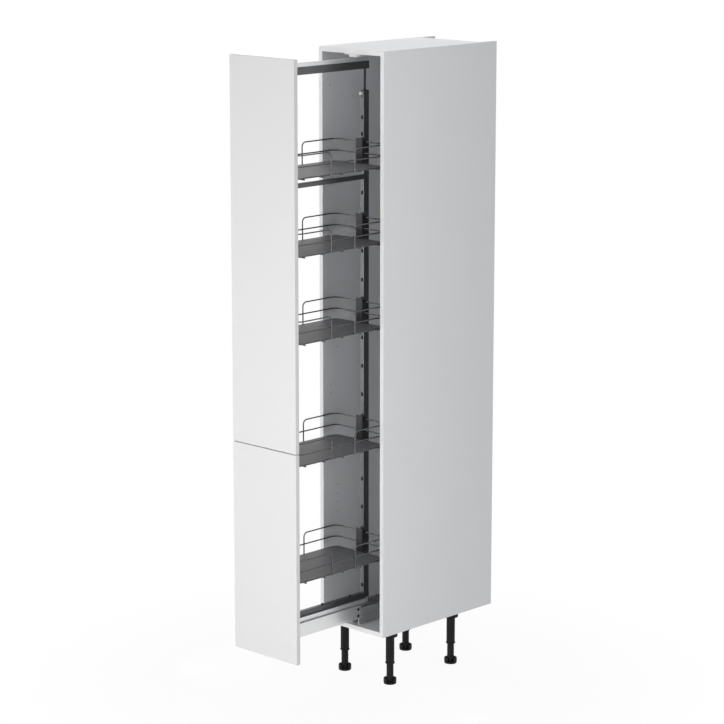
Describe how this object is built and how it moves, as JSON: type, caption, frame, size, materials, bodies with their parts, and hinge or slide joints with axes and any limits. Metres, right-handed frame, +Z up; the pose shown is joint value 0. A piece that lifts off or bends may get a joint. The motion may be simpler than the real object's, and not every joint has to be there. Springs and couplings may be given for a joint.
{
  "type": "pull out pantry unit",
  "caption": "Tall narrow cabinet on levelling legs with a pull-out door frame that carries wire baskets on a telescopic base runner and a top guide.",
  "frame": {"origin": "on the floor, under the middle of the unit with its frame pulled out", "axes": "+X to the right seen from the front, +Y from the door into the cabinet, +Z up"},
  "size_m": [0.3, 0.972, 2.19],
  "materials": {
    "carcass_white": "white melamine board with fine grain, edged on all sides",
    "back_white": "white lacquered fibreboard",
    "door_white": "smooth satin white lacquer",
    "leg_black": "moulded black plastic",
    "screw_zinc": "bright zinc",
    "rail_zinc": "galvanised steel",
    "cage_steel": "bright rolled steel",
    "runner_silver": "silver powder coat",
    "frame_anthracite": "anthracite powder coat",
    "rod_black": "black coated steel",
    "damper_grey": "grey moulded plastic",
    "fitting_black": "black moulded plastic",
    "plunger_steel": "polished steel",
    "guide_silver": "anodised aluminium",
    "guide_white": "white plastic",
    "axle_steel": "turned steel",
    "wire_dark": "dark grey coated wire, semi gloss",
    "tray_grey": "anthracite melamine board"
  },
  "bodies": {
    "cabinet": {"side_panel_left": "carcass_white", "side_panel_right": "carcass_white", "top_panel": "carcass_white", "bottom_panel": "carcass_white", "back_panel": "back_white", "leg_sleeve_front_left": "leg_black", "leg_sleeve_front_right": "leg_black", "leg_sleeve_rear_left": "leg_black", "leg_sleeve_rear_right": "leg_black", "leg_screws": "screw_zinc", "base_rail": "rail_zinc", "base_rail_screws": "screw_zinc", "damper_body": "damper_grey", "guide_bracket": "guide_white", "guide_screws": "screw_zinc", "guide_axle": "axle_steel"},
    "pullout": {"upper_door": "door_white", "lower_door": "door_white", "door_brackets": "rail_zinc", "door_screws": "screw_zinc", "front_plate": "rail_zinc", "runner_carriage": "runner_silver", "carrier_channel": "runner_silver", "damper_striker": "damper_grey", "bottom_rail": "frame_anthracite", "frame_bolts": "rod_black", "front_post": "frame_anthracite", "rear_post": "frame_anthracite", "mid_rail": "frame_anthracite", "post_plugs": "fitting_black", "clamp_screws": "guide_white"},
    "top_frame": {"top_rail": "frame_anthracite", "top_rail_caps": "fitting_black", "telescopic_rods": "rod_black", "guide_rail": "guide_silver"},
    "middle_slides": {"middle_slide_left": "rail_zinc", "middle_slide_right": "rail_zinc"},
    "inner_cages": {"inner_ball_cages": "cage_steel"},
    "outer_cages": {"outer_ball_cages": "cage_steel"},
    "guide_wheel": {"guide_roller": "guide_white"},
    "plunger": {"damper_plunger": "plunger_steel"},
    "basket_1": {"basket_1_wires": "wire_dark", "basket_1_tray": "tray_grey", "basket_1_clamps": "fitting_black"},
    "basket_2": {"basket_2_wires": "wire_dark", "basket_2_tray": "tray_grey", "basket_2_clamps": "fitting_black"},
    "basket_3": {"basket_3_wires": "wire_dark", "basket_3_tray": "tray_grey", "basket_3_clamps": "fitting_black"},
    "basket_4": {"basket_4_wires": "wire_dark", "basket_4_tray": "tray_grey", "basket_4_clamps": "fitting_black"},
    "basket_5": {"basket_5_wires": "wire_dark", "basket_5_tray": "tray_grey", "basket_5_clamps": "fitting_black"},
    "foot_front_left": {"foot_front_left": "leg_black"},
    "foot_front_right": {"foot_front_right": "leg_black"},
    "foot_rear_left": {"foot_rear_left": "leg_black"},
    "foot_rear_right": {"foot_rear_right": "leg_black"}
  },
  "joints": [
    {"name": "pullout_slide", "type": "slide", "parent": "cabinet", "child": "pullout", "axis": [0, -1, 0], "range_m": [-0.394, 0]},
    {"name": "middle_slide", "type": "slide", "parent": "cabinet", "child": "middle_slides", "axis": [0, -1, 0], "range_m": [-0.197, 0]},
    {"name": "inner_cage_roll", "type": "slide", "parent": "cabinet", "child": "inner_cages", "axis": [0, -1, 0], "range_m": [-0.0985, 0]},
    {"name": "outer_cage_roll", "type": "slide", "parent": "cabinet", "child": "outer_cages", "axis": [0, -1, 0], "range_m": [-0.2955, 0]},
    {"name": "frame_height", "type": "slide", "parent": "pullout", "child": "top_frame", "axis": [0, 0, 1], "range_m": [-0.05, 0]},
    {"name": "basket_1_height", "type": "slide", "parent": "pullout", "child": "basket_1", "axis": [0, 0, 1], "range_m": [-0.05, 0.05]},
    {"name": "basket_2_height", "type": "slide", "parent": "pullout", "child": "basket_2", "axis": [0, 0, 1], "range_m": [-0.05, 0.05]},
    {"name": "basket_3_height", "type": "slide", "parent": "pullout", "child": "basket_3", "axis": [0, 0, 1], "range_m": [-0.05, 0.05]},
    {"name": "basket_4_height", "type": "slide", "parent": "pullout", "child": "basket_4", "axis": [0, 0, 1], "range_m": [-0.05, 0.05]},
    {"name": "basket_5_height", "type": "slide", "parent": "pullout", "child": "basket_5", "axis": [0, 0, 1], "range_m": [-0.02, 0.05]},
    {"name": "foot_front_left_level", "type": "slide", "parent": "cabinet", "child": "foot_front_left", "axis": [0, 0, -1], "range_m": [-0.02, 0.025]},
    {"name": "foot_front_right_level", "type": "slide", "parent": "cabinet", "child": "foot_front_right", "axis": [0, 0, -1], "range_m": [-0.02, 0.025]},
    {"name": "foot_rear_left_level", "type": "slide", "parent": "cabinet", "child": "foot_rear_left", "axis": [0, 0, -1], "range_m": [-0.02, 0.025]},
    {"name": "foot_rear_right_level", "type": "slide", "parent": "cabinet", "child": "foot_rear_right", "axis": [0, 0, -1], "range_m": [-0.02, 0.025]},
    {"name": "guide_roller_spin", "type": "hinge", "parent": "cabinet", "child": "guide_wheel", "pos_m": [0, -0.055, 2.154], "axis": [0, 0, 1], "continuous": true},
    {"name": "plunger_push", "type": "slide", "parent": "cabinet", "child": "plunger", "axis": [0, 1, 0], "range_m": [0, 0.022], "stiffness_N_per_m": 150, "springref_m": -0.01}
  ],
  "couplings": [
    {"joint": "middle_slide", "follows": "pullout_slide", "ratio": 0.5},
    {"joint": "inner_cage_roll", "follows": "pullout_slide", "ratio": 0.25},
    {"joint": "outer_cage_roll", "follows": "pullout_slide", "ratio": 0.75}
  ]
}
